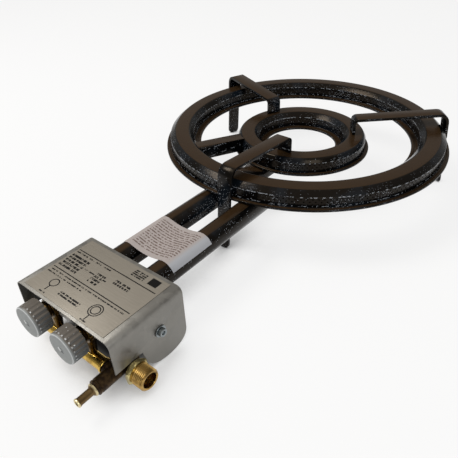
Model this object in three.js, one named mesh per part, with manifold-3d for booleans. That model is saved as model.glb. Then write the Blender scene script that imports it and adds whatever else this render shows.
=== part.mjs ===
// Two-ring gas burner for paella pans: two pressed flame rings on three bent legs, fed by two
// mixing tubes from a sheet-metal valve box with two taps. Millimetres, +Z up, taps toward -Y.
import * as THREE from 'three';
import { mergeVertices } from 'three/addons/utils/BufferGeometryUtils.js';
import Module from 'manifold-3d';

const wasm = await Module();
wasm.setup();

// Clearances and facets
const seatGap = 0.3;              // between pieces that seat on each other
const runningGap = 0.1;           // around parts that turn or slide
const overrun = 6;                // how far a cutting tool runs past the piece
const roundSteps = 20;            // facets of round parts
const smallSteps = 12;            // facets of small round parts
const bendSteps = 5;              // facets of a sheet bend

// Stance
const ringTopHeight = 88;         // floor to the flat top of the outer ring

// Pressed rings: an upside-down channel crimped into a flat pan
const ringSheet = 0.9;
const ringDepth = 21.6;           // flat top to the underside of the pan
const shoulderDrop = 6;           // flat top to the bend into the wall
const hemLap = 3.6;               // width of the rim folded back over the channel
const cornerShare = 0.45;
const outerRing = {
  radius: 190, width: 47.1, lipOut: 6, lipIn: 9.3, shoulderOut: 7.3, shoulderIn: 6.3,
  x: 0, y: 0, drop: 0, steps: 56,
};
const ringGap = 49.9;             // from the outer ring's inner edge to the inner ring's rim
const innerRing = {
  radius: outerRing.radius - outerRing.width - ringGap, width: 45,
  lipOut: 5.4, lipIn: 9.6, shoulderOut: 3.4, shoulderIn: 7.2,
  x: -3, y: -2, drop: 11, steps: 38,
};
const portWidth = 2.4;            // flame ports: one in each facet of a ring's inner wall
const portDepth = 4.2;            // below the shoulder's lower edge
const portSides = 4;

// Crossover duct between the rings
const ductWidth = 18;
const ductHeight = 17.6;
const ductSheet = 1.2;
const ductOuterAngle = -118.7;    // degrees round the outer ring
const ductInnerAngle = -131.5;    // degrees round the inner ring

// Pan supports: one flat bar each, bent into leg, arm and down-turned tip
const barWidth = 20;
const barThickness = 4;
const legWidth = 17.4;            // below the shoulders that sit on the ring's rim
const panClearance = 16.5;        // top of the arm above the outer ring, at its outer end
const armFall = 5.5;              // the arm's inner end is this much lower
const legInset = 2.9;             // leg's outer face inside the outer rim, at the top
const legSplay = 10;              // how far the foot stands outside the arm's end
const outerBend = 11;             // bend radii on the bar's centreline
const innerBend = 5;
const footCorner = 7;
const tipInset = 26;              // tip's inner face inside the inner ring's rim
const supports = [
  { name: 'pan_support_front', angle: -86.8, skew: -4.2, reachShare: 1 },
  { name: 'pan_support_left', angle: 159, skew: 0, reachShare: 0.96 },
  { name: 'pan_support_right', angle: 34.2, skew: 3.2, reachShare: 1.035 },
];

// Mixing tubes
const handleOffset = 9.5;         // the tubes' middle stands this far off the ring's middle
const tubeSpacing = 49.8;
const tubeDiameter = 27;
const tubeWall = 1.2;
const feedHole = 14;
const tubeEndPast = 16;           // tube beyond the middle of its feed hole
const shoeWidth = 34;             // flattened end under the inner ring
const shoeBefore = 4;             // flat this far ahead of the inner ring's rim
const shoeTransition = 27;        // length in which the round tube flattens
const shoeSquareShare = 0.55;
const airWindowLength = 20;
const airWindowHeight = 11;
const airWindowSetback = 27;      // tube's front end to the middle of its air windows
const capThickness = 3;

// Valve box cover
const boxReach = 415;             // ring's middle to the front edge
const boxDepth = 85.3;
const boxWidth = 132;
const boxDrop = 20.4;             // outer ring's top to the cover's top
const boxHeight = 66.4;
const coverSheet = 1.2;
const coverBend = 6;              // on the sheet's centreline
const frontEdgeShare = 0.551;     // height of the straight front part of a side
const notchShare = 0.356;         // depth from the front edge to the notch
const notchRootShares = [0.394, 0.756];
const lobeShares = [[0.43, 0.93, 0.56, 1, 0.715, 1], [0.88, 1, 1, 0.93, 1, 0.75]];
const frontTabWidth = 23;
const frontTabHeight = 5;
const frontTabOffset = 12;
const plateSheet = 0.5;           // bare rating plate
const plateMargin = 3;
const plateRearMargin = 4;

// Bracket inside the box
const bracketSheet = 2;
const bracketHeight = 34;
const bracketSetback = 11;        // behind the tubes' front ends
const bracketTab = 22;
const bracketBend = 3;
const screwSetback = 10.2;        // behind the bracket's middle
const screwDrop = 49;
const screwShank = 4;
const screwHead = 8.4;
const screwHeadHeight = 3.2;
const screwLength = 8;
const screwSocket = 4;
const screwSocketDepth = 1.8;
const washerDiameter = 12;
const washerThickness = 1;

// Taps
const tapSetback = 2.8;           // behind the cover's front edge
const tapLength = 24.2;
const tapDiameter = 20;
const lugDiameter = 12;
const plugFront = 7.6;            // depths from the tap's front face
const plugLength = 11;
const plugRadius = 5.4;
const plugTaper = 0.9;
const plugWay = 4;                // gas way across the plug
const plugWayShare = 0.68;        // its place along the plug
const glandThickness = 4;
const glandAcross = 15;
const glandBore = 8;
const stemDiameter = 7;
const stemCollar = 10.4;
const stemCollarLength = 2;
const stemFlat = 1.2;
const stemForward = 18.4;         // stem ahead of the tap's front face
const tongueWidth = 2.6;
const tongueLength = 7;
const pushTravel = 2.5;

// Injectors
const injectorAcross = 12;
const injectorHead = 4.2;
const injectorThread = 8.4;
const injectorNose = 5;
const injectorNoseLength = 6;
const injectorBore = 1.6;
const injectorClearance = 0.5;    // injector's head to the tube's front end

// Knobs
const knobDiameter = 32;
const knobDepth = 16.5;
const knobCover = 3.6;            // knob's face to the end of its bore
const knobWall = 2.6;
const knobFaceWall = 3;
const knobChamfer = 1.2;
const fluteDepth = 0.9;
const fluteCount = 22;
const fluteSteps = 3;
const hubDiameter = 12;
const hubRecess = 1.5;
const knobMark = 5;
const knobMarkHeight = 0.4;

// Gas rail and inlet
const railSetback = 2.2;          // behind the taps' front faces
const railDrop = 65.5;
const railDiameter = 13.4;
const railBore = 9;
const railInset = 10.5;           // rail's left end inside the box's left side
const unionDiameter = 15;
const unionLength = 3;
const railPlugAcross = 15;
const railPlugLength = 5;
const inletInset = 10.5;          // inlet's axis inside the box's right side
const inletStub = 13;             // inlet's axis to the rail's right end
const inletDiameter = 14.6;
const inletForward = 21.5;        // ahead of the rail's axis
const inletRearWall = 10;         // behind the nipple's axis
const inletWay = 6.4;
const hoseTailLength = 17.9;
const hoseTailDiameter = 8.6;
const hoseTailBore = 4.4;
const hoseSpigot = 6;
const hoseLipDiameter = 12;
const hoseLip = 1.6;
const nippleSetback = 14;         // behind the rail's axis
const nippleDrop = 68;
const nippleNeck = 12;
const nippleHexAcross = 22;
const nippleHexLength = 5.2;
const nippleDiameter = 20.96;     // half-inch pipe thread
const nippleLength = 19.2;
const nippleBore = 15;
const nippleBoreDepth = 15;

// Instruction sheet lying over the tubes
const sheetThickness = 0.4;
const sheetLength = 57;
const sheetGap = 17.2;            // from the cover's rear edge
const sheetLeftAngle = 122;       // degrees round the left tube to the left edge
const sheetRightAngle = 20;       // degrees round the right tube to the right edge
const sheetReleaseAngle = 72;     // where the sheet lifts off the left tube
const sheetPullShare = 0.35;

// Places along the handle, as distances from the ring's middle
const tapFrontReach = boxReach - tapSetback;
const tubeReach = tapFrontReach - tapLength - seatGap - injectorHead - injectorClearance;
const airWindowReach = tubeReach - airWindowSetback;
const bracketReach = tubeReach - bracketSetback;
const screwReach = bracketReach - screwSetback;
const knobFaceReach = tapFrontReach + stemForward + seatGap + knobCover;
const railReach = tapFrontReach - railSetback;
const inletFrontReach = railReach + inletForward;
const nippleReach = railReach - nippleSetback;
const inletRearReach = nippleReach - inletRearWall;
const hoseTailReach = inletFrontReach + seatGap + hoseTailLength;
const sheetReach = boxReach - boxDepth - sheetGap - sheetLength / 2;

// Places across the handle, from the ring's middle
const boxLeft = handleOffset - boxWidth / 2;
const boxRight = handleOffset + boxWidth / 2;
const inletX = boxRight - inletInset;
const railLeft = boxLeft + railInset;
const railRight = inletX - inletStub;
const nippleHexStart = boxRight + seatGap;
const nippleEnd = nippleHexStart + nippleLength;

// Places that follow the rings
const shoeFull = innerRing.radius + shoeBefore;
const shoeStart = shoeFull + shoeTransition;
const armReach = outerRing.width + ringGap + tipInset;
const capHole = injectorThread + 2 * seatGap;

// Finishes
const finish = (color, roughness, metalness) =>
  new THREE.MeshStandardMaterial({ color, roughness, metalness });
const enamel = finish(0x14110e, 0.28, 0.1);
const galvanised = finish(0x8f918f, 0.45, 0.9);
const brass = finish(0xb4913f, 0.3, 1);
const agedBrass = finish(0x4d3620, 0.45, 0.9);
const plastic = finish(0x7d8688, 0.5, 0);
const steel = finish(0xb8bcc0, 0.35, 1);
const plateFinish = finish(0xb5ac9d, 0.5, 0.4);
const paper = finish(0xd6cbc4, 0.8, 0);

// Solids from three.js geometry
function toSolid(geometry) {
  const bare = geometry.clone();
  bare.deleteAttribute('normal');
  bare.deleteAttribute('uv');
  const merged = mergeVertices(bare);
  const place = merged.attributes.position;
  const index = merged.index.array;
  const triangles = [];
  let volume = 0;
  for (let i = 0; i < index.length; i += 3) {
    const [a, b, c] = [index[i], index[i + 1], index[i + 2]];
    if (a === b || b === c || c === a) continue;
    triangles.push(a, b, c);
    const [p, q, r] = [a, b, c].map((k) => new THREE.Vector3().fromBufferAttribute(place, k));
    volume += p.dot(q.cross(r));
  }
  if (volume < 0) triangles.reverse();
  const vertProperties = new Float32Array(place.array);
  const triVerts = new Uint32Array(triangles);
  return new wasm.Manifold(new wasm.Mesh({ numProp: 3, vertProperties, triVerts }));
}

function toGeometry(solid) {
  const { vertProperties, triVerts } = solid.getMesh();
  const geometry = new THREE.BufferGeometry();
  geometry.setAttribute('position', new THREE.BufferAttribute(vertProperties, 3));
  geometry.setIndex(new THREE.BufferAttribute(triVerts, 1));
  geometry.computeVertexNormals();
  return geometry;
}

const join = (first, ...others) => others.reduce((sum, other) => sum.add(other), first);
const cut = (body, ...tools) => tools.reduce((left, tool) => left.subtract(tool), body);

const model = new THREE.Group();

function piece(name, solid, material) {
  const mesh = new THREE.Mesh(toGeometry(solid), material);
  mesh.name = name;
  model.add(mesh);
  return mesh;
}

// Shape builders
const radians = THREE.MathUtils.degToRad;
const fullTurn = 2 * Math.PI;
const alongX = new THREE.Matrix4().makeBasis(
  new THREE.Vector3(0, 1, 0), new THREE.Vector3(0, 0, 1), new THREE.Vector3(1, 0, 0));
const alongY = new THREE.Matrix4().makeBasis(
  new THREE.Vector3(1, 0, 0), new THREE.Vector3(0, 0, 1), new THREE.Vector3(0, -1, 0));

function polar(centre, radius, degrees) {
  const angle = radians(degrees);
  return new THREE.Vector2(centre.x + radius * Math.cos(angle), centre.y + radius * Math.sin(angle));
}

// Closed outline of [across, up] pairs pushed from one place to another along an axis
function prism(outline, from, to, matrix, curveSegments = bendSteps) {
  const shape = outline instanceof THREE.Shape
    ? outline : new THREE.Shape(outline.map(([u, v]) => new THREE.Vector2(u, v)));
  const options = { depth: to - from, bevelEnabled: false, curveSegments };
  const geometry = new THREE.ExtrudeGeometry(shape, options);
  geometry.translate(0, 0, from);
  if (matrix) geometry.applyMatrix4(matrix);
  return geometry;
}
const prismX = (outline, from, to) => toSolid(prism(outline, from, to, alongX));
const prismY = (outline, from, to) => toSolid(prism(outline, -to, -from, alongY));
const prismZ = (outline, from, to) => toSolid(prism(outline, from, to));

// Closed outline of [radius, place] pairs turned about an axis through a point
function turned(outline, axis, centre, steps = smallSteps) {
  const closed = [...outline, outline[0]].map(([r, along]) => new THREE.Vector2(r, along));
  const geometry = new THREE.LatheGeometry(closed, steps);
  if (axis === 'x') geometry.rotateZ(-Math.PI / 2);
  if (axis === 'z') geometry.rotateX(Math.PI / 2);
  geometry.translate(centre.x ?? 0, centre.y ?? 0, centre.z ?? 0);
  return toSolid(geometry);
}

function rod(axis, centre, radius, from, to, steps = smallSteps) {
  return turned([[0, from], [radius, from], [radius, to], [0, to]], axis, centre, steps);
}

function hexOutline(across, u = 0, v = 0) {
  const corner = across / Math.sqrt(3);
  return Array.from({ length: 6 }, (_, k) => {
    const angle = (k * fullTurn) / 6;
    return [u + corner * Math.cos(angle), v + corner * Math.sin(angle)];
  });
}

function rectangle(left, right, low, high) {
  return [[left, low], [right, low], [right, high], [left, high]];
}

// Centreline through corner points with a round bend at each, as points with their directions
function bentLine(corners, radii) {
  const line = [];
  const points = corners.map(([u, v]) => new THREE.Vector2(u, v));
  points.forEach((corner, k) => {
    const before = points[k - 1];
    const after = points[k + 1];
    const inward = before && corner.clone().sub(before).normalize();
    const outward = after && after.clone().sub(corner).normalize();
    if (!before || !after) {
      line.push({ at: corner, way: inward ?? outward });
      return;
    }
    const turn = Math.atan2(inward.cross(outward), inward.dot(outward));
    const radius = radii[k - 1];
    const setback = radius * Math.tan(Math.abs(turn) / 2);
    const start = corner.clone().addScaledVector(inward, -setback);
    const side = new THREE.Vector2(-inward.y, inward.x).multiplyScalar(Math.sign(turn) * radius);
    const centre = start.clone().add(side);
    for (let step = 0; step <= bendSteps; step += 1) {
      const angle = (turn * step) / bendSteps;
      const spoke = side.clone().negate().rotateAround(new THREE.Vector2(), angle);
      const way = inward.clone().rotateAround(new THREE.Vector2(), angle);
      line.push({ at: centre.clone().add(spoke), way });
    }
  });
  return line;
}

// Closed outline of a strip of even thickness along a centreline
function stripOutline(line, thickness) {
  const side = (sign) => line.map(({ at, way }) =>
    [at.x - (way.y * sign * thickness) / 2, at.y + (way.x * sign * thickness) / 2]);
  return [...side(1), ...side(-1).reverse()];
}

// Rings
const ringLevels = (() => {
  const panFloor = -ringDepth;
  const flangeLow = panFloor + ringSheet + seatGap;
  const flangeHigh = flangeLow + ringSheet;
  const hemLow = flangeHigh + seatGap;
  return { panFloor, flangeLow, flangeHigh, hemLow, hemHigh: hemLow + ringSheet };
})();

function ringRadii(ring) {
  const rimOut = ring.radius;
  const rimIn = ring.radius - ring.width;
  const wallOut = rimOut - ring.lipOut;
  const wallIn = rimIn + ring.lipIn;
  const topOut = wallOut - ring.shoulderOut;
  const topIn = wallIn + ring.shoulderIn;
  return { rimOut, rimIn, wallOut, wallIn, topOut, topIn };
}

const ringCentre = (ring) => ({ x: ring.x, y: ring.y, z: ringTopHeight - ring.drop });

function channelSolid(ring) {
  const r = ringRadii(ring);
  const { flangeLow, flangeHigh } = ringLevels;
  const flangeIn = r.rimIn + ringSheet + seatGap;
  const flangeOut = r.rimOut - ringSheet - seatGap;
  const inset = ringSheet * cornerShare;
  return turned([
    [flangeIn, flangeLow], [flangeIn, flangeHigh], [r.wallIn, flangeHigh], [r.wallIn, -shoulderDrop],
    [r.topIn, 0], [r.topOut, 0], [r.wallOut, -shoulderDrop], [r.wallOut, flangeHigh],
    [flangeOut, flangeHigh], [flangeOut, flangeLow], [r.wallOut - ringSheet, flangeLow],
    [r.wallOut - ringSheet, -shoulderDrop - inset], [r.topOut - inset, -ringSheet],
    [r.topIn + inset, -ringSheet], [r.wallIn + ringSheet, -shoulderDrop - inset],
    [r.wallIn + ringSheet, flangeLow],
  ], 'z', ringCentre(ring), ring.steps);
}

function panSolid(ring) {
  const r = ringRadii(ring);
  const { panFloor, hemLow, hemHigh } = ringLevels;
  return turned([
    [r.rimIn, panFloor], [r.rimOut, panFloor], [r.rimOut, hemHigh], [r.rimOut - hemLap, hemHigh],
    [r.rimOut - hemLap, hemLow], [r.rimOut - ringSheet, hemLow],
    [r.rimOut - ringSheet, panFloor + ringSheet], [r.rimIn + ringSheet, panFloor + ringSheet],
    [r.rimIn + ringSheet, hemLow], [r.rimIn + hemLap, hemLow], [r.rimIn + hemLap, hemHigh],
    [r.rimIn, hemHigh],
  ], 'z', ringCentre(ring), ring.steps);
}

// Space that a ring takes, grown by the seat gap, for trimming what meets it
function ringEnvelope(ring) {
  const r = ringRadii(ring);
  const { panFloor, hemHigh } = ringLevels;
  return turned([
    [r.rimIn - seatGap, panFloor - seatGap], [r.rimIn - seatGap, hemHigh + seatGap],
    [r.wallIn - seatGap, hemHigh + seatGap], [r.wallIn - seatGap, -shoulderDrop + seatGap],
    [r.topIn - seatGap, seatGap], [r.topOut + seatGap, seatGap],
    [r.wallOut + seatGap, -shoulderDrop + seatGap], [r.wallOut + seatGap, hemHigh + seatGap],
    [r.rimOut + seatGap, hemHigh + seatGap], [r.rimOut + seatGap, panFloor - seatGap],
  ], 'z', ringCentre(ring), ring.steps);
}

// Row of flame ports through a ring's inner wall, left out where the duct comes in
function portRow(ring, ductAngle = Infinity) {
  const { wallIn } = ringRadii(ring);
  const pitch = 360 / ring.steps;
  const ductReach = THREE.MathUtils.radToDeg((ductWidth / 2 + portWidth) / wallIn);
  const z = ringTopHeight - ring.drop - shoulderDrop - portDepth;
  const row = [];
  for (let k = 0; k < ring.steps; k += 1) {
    const angle = -90 + (k + 1 / 2) * pitch;
    const turn = THREE.MathUtils.euclideanModulo(angle - ductAngle + 180, 360) - 180;
    if (Math.abs(turn) < ductReach) continue;
    const port = new THREE.CylinderGeometry(portWidth / 2, portWidth / 2, 4 * ringSheet, portSides);
    port.rotateZ(Math.PI / 2);
    port.translate(wallIn, 0, 0);
    port.rotateZ(radians(angle));
    port.translate(ring.x, ring.y, z);
    row.push(toSolid(port));
  }
  return join(...row);
}

// Support bars
function supportFrame(support) {
  const foot = polar(outerRing, outerRing.radius, support.angle);
  return new THREE.Matrix4()
    .makeTranslation(foot.x, foot.y, 0)
    .multiply(new THREE.Matrix4().makeRotationZ(radians(support.angle + 180 + support.skew)));
}

const armTop = ringTopHeight + panClearance;
const legTop = legInset + barThickness / 2;
const legLine = (height) => legTop - legSplay * (1 - height / armTop);
const legShoulder = ringTopHeight + ringLevels.hemHigh + seatGap;

function supportSolid(support) {
  const tip = armReach * support.reachShare - barThickness / 2;
  const tipSeat = ringTopHeight - innerRing.drop + seatGap;
  const armLine = armTop - barThickness / 2;
  const corners = [
    [legLine(-overrun), -overrun], [legLine(armLine), armLine], [tip, armLine - armFall], [tip, tipSeat],
  ];
  const line = bentLine(corners, [outerBend, innerBend]);
  const bar = prism(stripOutline(line, barThickness), -barWidth / 2, barWidth / 2, alongY);
  bar.applyMatrix4(supportFrame(support));
  const [half, legHalf] = [barWidth / 2, legWidth / 2];
  const face = new THREE.Shape();
  face.moveTo(-half, armTop + overrun);
  face.lineTo(-half, legShoulder);
  face.lineTo(-legHalf, legShoulder);
  face.lineTo(-legHalf, footCorner);
  face.quadraticCurveTo(-legHalf, 0, -legHalf + footCorner, 0);
  face.lineTo(legHalf - footCorner, 0);
  face.quadraticCurveTo(legHalf, 0, legHalf, footCorner);
  face.lineTo(legHalf, legShoulder);
  face.lineTo(half, legShoulder);
  face.lineTo(half, armTop + overrun);
  const trim = prism(face, -legSplay - overrun, tip + overrun, alongX);
  trim.applyMatrix4(supportFrame(support));
  return toSolid(bar).intersect(toSolid(trim));
}

// Notch that lets a leg sit in the rims
function legNotch(support) {
  const half = legWidth / 2 + seatGap;
  const inner = legLine(legShoulder) + barThickness / 2 + seatGap;
  const box = prism(rectangle(-legSplay - overrun, inner + seatGap, -half, half),
    ringTopHeight + ringLevels.panFloor - overrun, legShoulder + overrun);
  box.applyMatrix4(supportFrame(support));
  return toSolid(box);
}

// Crossover duct
const ductOuterEnd = polar(outerRing, ringRadii(outerRing).topIn, ductOuterAngle);
const ductInnerEnd = polar(innerRing, ringRadii(innerRing).topOut, ductInnerAngle);

function ductBlock(inset, overlap) {
  const run = ductOuterEnd.clone().sub(ductInnerEnd);
  const length = run.length();
  const half = ductWidth / 2 - inset;
  const block = prism(rectangle(-half, half, -ductHeight + inset, -inset), -overlap, length + overlap);
  const across = new THREE.Vector3(-run.y / length, run.x / length, 0);
  const along = new THREE.Vector3(run.x / length, run.y / length, innerRing.drop / length);
  const basis = new THREE.Matrix4().makeBasis(across, new THREE.Vector3(0, 0, 1), along);
  basis.setPosition(ductInnerEnd.x, ductInnerEnd.y, ringTopHeight - innerRing.drop);
  block.applyMatrix4(basis);
  return toSolid(block);
}
const ductPassage = ductBlock(ductSheet, overrun);

function ductSolid() {
  const reach = outerRing.radius;
  const above = prismZ(rectangle(-reach, reach, -reach, reach), ringTopHeight, ringTopHeight + reach);
  return cut(ductBlock(0, overrun), ductBlock(ductSheet, overrun + overrun),
    ringEnvelope(outerRing), ringEnvelope(innerRing), above);
}

// Mixing tubes
const tubeRadius = tubeDiameter / 2;
const tubeZ = ringTopHeight - ringDepth - seatGap - tubeRadius;
const innerTubeX = handleOffset - tubeSpacing / 2;
const outerTubeX = handleOffset + tubeSpacing / 2;

function feedPoint(ring, x) {
  const r = ringRadii(ring);
  const middle = (r.wallIn + r.wallOut) / 2;
  return { x, y: ring.y - Math.sqrt(middle ** 2 - (x - ring.x) ** 2) };
}
const outerFeed = feedPoint(outerRing, outerTubeX);
const innerFeed = feedPoint(innerRing, innerTubeX);

// Skin through closed sections that may change from round to nearly square
function loft(x, stations, sides = roundSteps) {
  const points = [];
  const faces = [];
  stations.forEach(({ y, halfWidth, low, high, square = 1 }) => {
    for (let k = 0; k < sides; k += 1) {
      const angle = (k * fullTurn) / sides;
      const [c, s] = [Math.cos(angle), Math.sin(angle)];
      const across = Math.sign(c) * Math.abs(c) ** square * halfWidth;
      const up = (Math.sign(s) * Math.abs(s) ** square * (high - low)) / 2;
      points.push(x + across, y, (high + low) / 2 + up);
    }
  });
  const ends = [stations[0], stations[stations.length - 1]];
  ends.forEach(({ y, low, high }) => points.push(x, y, (high + low) / 2));
  const front = stations.length * sides;
  for (let k = 0; k < sides; k += 1) {
    const next = (k + 1) % sides;
    for (let ring = 0; ring < stations.length - 1; ring += 1) {
      const [a, b] = [ring * sides + k, ring * sides + next];
      faces.push(a, b, a + sides, b, b + sides, a + sides);
    }
    const last = front - sides;
    faces.push(front, next, k, front + 1, last + k, last + next);
  }
  const geometry = new THREE.BufferGeometry();
  geometry.setAttribute('position', new THREE.Float32BufferAttribute(points, 3));
  geometry.setIndex(faces);
  return toSolid(geometry);
}

function roundStation(y, inset) {
  const halfWidth = tubeRadius - inset;
  return { y, halfWidth, low: tubeZ - halfWidth, high: tubeZ + halfWidth };
}

function innerTubeStations(inset) {
  const shoeTop = ringTopHeight - innerRing.drop - ringDepth - seatGap - inset;
  const low = tubeZ - tubeRadius + inset;
  const flat = (y, halfWidth) => ({ y, halfWidth, low, high: shoeTop, square: shoeSquareShare });
  const end = innerFeed.y + tubeEndPast;
  return [
    roundStation(-shoeStart, inset), flat(-shoeFull, shoeWidth / 2 - inset),
    flat(end - tubeWall - inset, shoeWidth / 2 - inset),
  ];
}

function airWindow(x) {
  const half = airWindowHeight / 2;
  const length = airWindowLength / 2;
  const slot = new THREE.Shape();
  slot.moveTo(-airWindowReach - length + half, tubeZ - half);
  slot.lineTo(-airWindowReach + length - half, tubeZ - half);
  slot.absarc(-airWindowReach + length - half, tubeZ, half, -Math.PI / 2, Math.PI / 2, false);
  slot.lineTo(-airWindowReach - length + half, tubeZ + half);
  slot.absarc(-airWindowReach - length + half, tubeZ, half, Math.PI / 2, (3 * Math.PI) / 2, false);
  return prismX(slot, x - tubeRadius - overrun, x + tubeRadius + overrun);
}

function tubeSolid(x, outside, inside, feed) {
  const hole = rod('z', { x: feed.x, y: feed.y }, feedHole / 2, tubeZ - tubeWall, ringTopHeight);
  return cut(outside, inside, hole, airWindow(x));
}

function outerTubeSolid() {
  const end = outerFeed.y + tubeEndPast;
  const outside = loft(outerTubeX, [roundStation(-tubeReach, 0), roundStation(end, 0)]);
  const inside = loft(outerTubeX,
    [roundStation(-tubeReach - overrun, tubeWall), roundStation(end - tubeWall, tubeWall)]);
  return tubeSolid(outerTubeX, outside, inside, outerFeed);
}

function innerTubeSolid() {
  const outside = loft(innerTubeX, [roundStation(-tubeReach, 0), ...innerTubeStations(0)]);
  const inside = loft(innerTubeX,
    [roundStation(-tubeReach - overrun, tubeWall), ...innerTubeStations(tubeWall)]);
  return tubeSolid(innerTubeX, outside, inside, innerFeed);
}

function tubeCapSolid(x) {
  const radius = tubeRadius - tubeWall - seatGap;
  return turned([
    [capHole / 2, -tubeReach], [radius, -tubeReach], [radius, -tubeReach + capThickness],
    [capHole / 2, -tubeReach + capThickness],
  ], 'y', { x, z: tubeZ });
}

// Valve box
const boxTop = ringTopHeight - boxDrop;
const boxFloor = boxTop - boxHeight;
const screwZ = ringTopHeight - screwDrop;

function sideOutline() {
  const u = (share) => -boxReach + share * boxDepth;
  const v = (share) => boxTop - share * boxHeight;
  const side = new THREE.Shape();
  side.moveTo(u(0), boxTop + overrun);
  side.lineTo(u(0), v(frontEdgeShare));
  side.lineTo(u(notchShare), v(frontEdgeShare));
  side.lineTo(u(notchRootShares[0]), v(notchRootShares[1]));
  lobeShares.forEach(([a, b, c, d, e, f]) => side.bezierCurveTo(u(a), v(b), u(c), v(d), u(e), v(f)));
  side.lineTo(u(1), boxTop + overrun);
  return side;
}

function coverSolid() {
  const half = coverSheet / 2;
  const line = bentLine([
    [boxLeft + half, boxFloor - overrun], [boxLeft + half, boxTop - half],
    [boxRight - half, boxTop - half], [boxRight - half, boxFloor - overrun],
  ], [coverBend, coverBend]);
  const shell = prismY(stripOutline(line, coverSheet), -boxReach, -boxReach + boxDepth);
  const sides = toSolid(
    prism(sideOutline(), boxLeft - overrun, boxRight + overrun, alongX, 2 * bendSteps));
  const tabLeft = handleOffset + frontTabOffset - frontTabWidth / 2;
  const tabOutline = rectangle(
    tabLeft, tabLeft + frontTabWidth, boxTop - frontTabHeight, boxTop - half);
  const tab = prismY(tabOutline, -boxReach, -boxReach + coverSheet);
  const holes = rod('x', { y: -screwReach, z: screwZ }, screwShank / 2 + seatGap,
    boxLeft - overrun, boxRight + overrun);
  return cut(join(shell.intersect(sides), tab), holes);
}

function ratingPlateSolid() {
  const flat = boxWidth / 2 - coverBend - coverSheet - plateMargin;
  const outline = rectangle(handleOffset - flat, handleOffset + flat,
    -boxReach + plateMargin, -boxReach + boxDepth - plateRearMargin);
  return prismZ(outline, boxTop, boxTop + plateSheet);
}

function bracketSolid() {
  const half = bracketSheet / 2;
  const left = boxLeft + coverSheet + seatGap + half;
  const right = boxRight - coverSheet - seatGap - half;
  const line = bentLine([
    [left, -bracketReach + bracketTab], [left, -bracketReach], [right, -bracketReach],
    [right, -bracketReach + bracketTab],
  ], [bracketBend, bracketBend]);
  const top = boxTop - coverBend - coverSheet - seatGap;
  const plate = prismZ(stripOutline(line, bracketSheet), top - bracketHeight, top);
  const hole = (x) => rod('y', { x, z: tubeZ }, tubeRadius + seatGap,
    -bracketReach - overrun, -bracketReach + overrun, roundSteps);
  const screws = rod('x', { y: -screwReach, z: screwZ }, screwShank / 2 + seatGap,
    boxLeft - overrun, boxRight + overrun);
  return cut(plate, hole(innerTubeX), hole(outerTubeX), screws);
}

// Side screw with its washer: sign is +1 on the right and -1 on the left
function sideScrewSolid(sign) {
  const face = handleOffset + sign * (boxWidth / 2 + seatGap + washerThickness + seatGap);
  const head = face + sign * screwHeadHeight;
  const outline = [
    [0, face - sign * screwLength], [screwShank / 2, face - sign * screwLength], [screwShank / 2, face],
    [screwHead / 2, face], [screwHead / 2, head], [0, head],
  ];
  const [inside, outside] = [head - sign * screwSocketDepth, head + sign * overrun];
  const socket = prismX(hexOutline(screwSocket, -screwReach, screwZ),
    Math.min(inside, outside), Math.max(inside, outside));
  return cut(turned(outline, 'x', { y: -screwReach, z: screwZ }), socket);
}

function washerSolid(sign) {
  const face = handleOffset + sign * (boxWidth / 2 + seatGap);
  const far = face + sign * washerThickness;
  const bore = screwShank / 2 + seatGap;
  return turned([[bore, face], [washerDiameter / 2, face], [washerDiameter / 2, far], [bore, far]],
    'x', { y: -screwReach, z: screwZ });
}

// Taps
const tapFront = -tapFrontReach;
const tapRear = tapFront + tapLength;
const railY = -railReach;
const railZ = ringTopHeight - railDrop;
const glandFront = tapFront - glandThickness - seatGap;
const collarRear = tapFront + seatGap + stemCollarLength;
const plugFrontY = tapFront + plugFront;
const plugRearY = plugFrontY + plugLength;

function tapBodySolid(x) {
  const centre = { x, z: tubeZ };
  const barrel = rod('y', centre, tapDiameter / 2, tapFront, tapRear);
  const lugTop = new THREE.Vector3(x, tapFront + lugDiameter / 2 + runningGap, tubeZ);
  const lugFoot = new THREE.Vector3(x, railY, railZ);
  const lugLine = lugFoot.clone().sub(lugTop);
  const lug = new THREE.CylinderGeometry(lugDiameter / 2, lugDiameter / 2, lugLine.length(), roundSteps);
  lug.applyQuaternion(new THREE.Quaternion().setFromUnitVectors(
    new THREE.Vector3(0, -1, 0), lugLine.clone().normalize()));
  const middle = lugTop.clone().add(lugFoot).multiplyScalar(1 / 2);
  lug.translate(middle.x, middle.y, middle.z);
  const frontTrim = prismY(rectangle(x - tapDiameter, x + tapDiameter, 0, ringTopHeight),
    tapFront - tapDiameter, tapFront);
  const saddle = rod('x', { y: railY, z: railZ }, railDiameter / 2 + seatGap,
    x - tapDiameter, x + tapDiameter);
  const collarBore = rod('y', centre, stemCollar / 2 + runningGap + seatGap,
    tapFront - overrun, plugFrontY);
  const narrow = plugRadius - plugTaper;
  const plugBore = turned([
    [0, plugFrontY], [plugRadius + runningGap, plugFrontY], [narrow + runningGap, plugRearY + runningGap],
    [0, plugRearY + runningGap],
  ], 'y', centre, roundSteps);
  const gasWay = rod('y', centre, injectorBore, plugRearY, tapRear + overrun);
  return cut(join(barrel, toSolid(lug)), frontTrim, saddle, collarBore, plugBore, gasWay);
}

function tapPlugSolid(x) {
  const narrow = plugRadius - plugTaper;
  const cone = turned([[0, plugFrontY], [plugRadius, plugFrontY], [narrow, plugRearY], [0, plugRearY]],
    'y', { x, z: tubeZ }, roundSteps);
  const slotHalf = tongueWidth / 2 + seatGap;
  const slot = prismY(rectangle(x - tapDiameter, x + tapDiameter, tubeZ - slotHalf, tubeZ + slotHalf),
    plugFrontY - overrun, collarRear + tongueLength + pushTravel + seatGap);
  const way = rod('z', { x, y: plugFrontY + plugLength * plugWayShare }, plugWay / 2,
    tubeZ - tapDiameter, tubeZ + tapDiameter);
  return cut(cone, slot, way);
}

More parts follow.
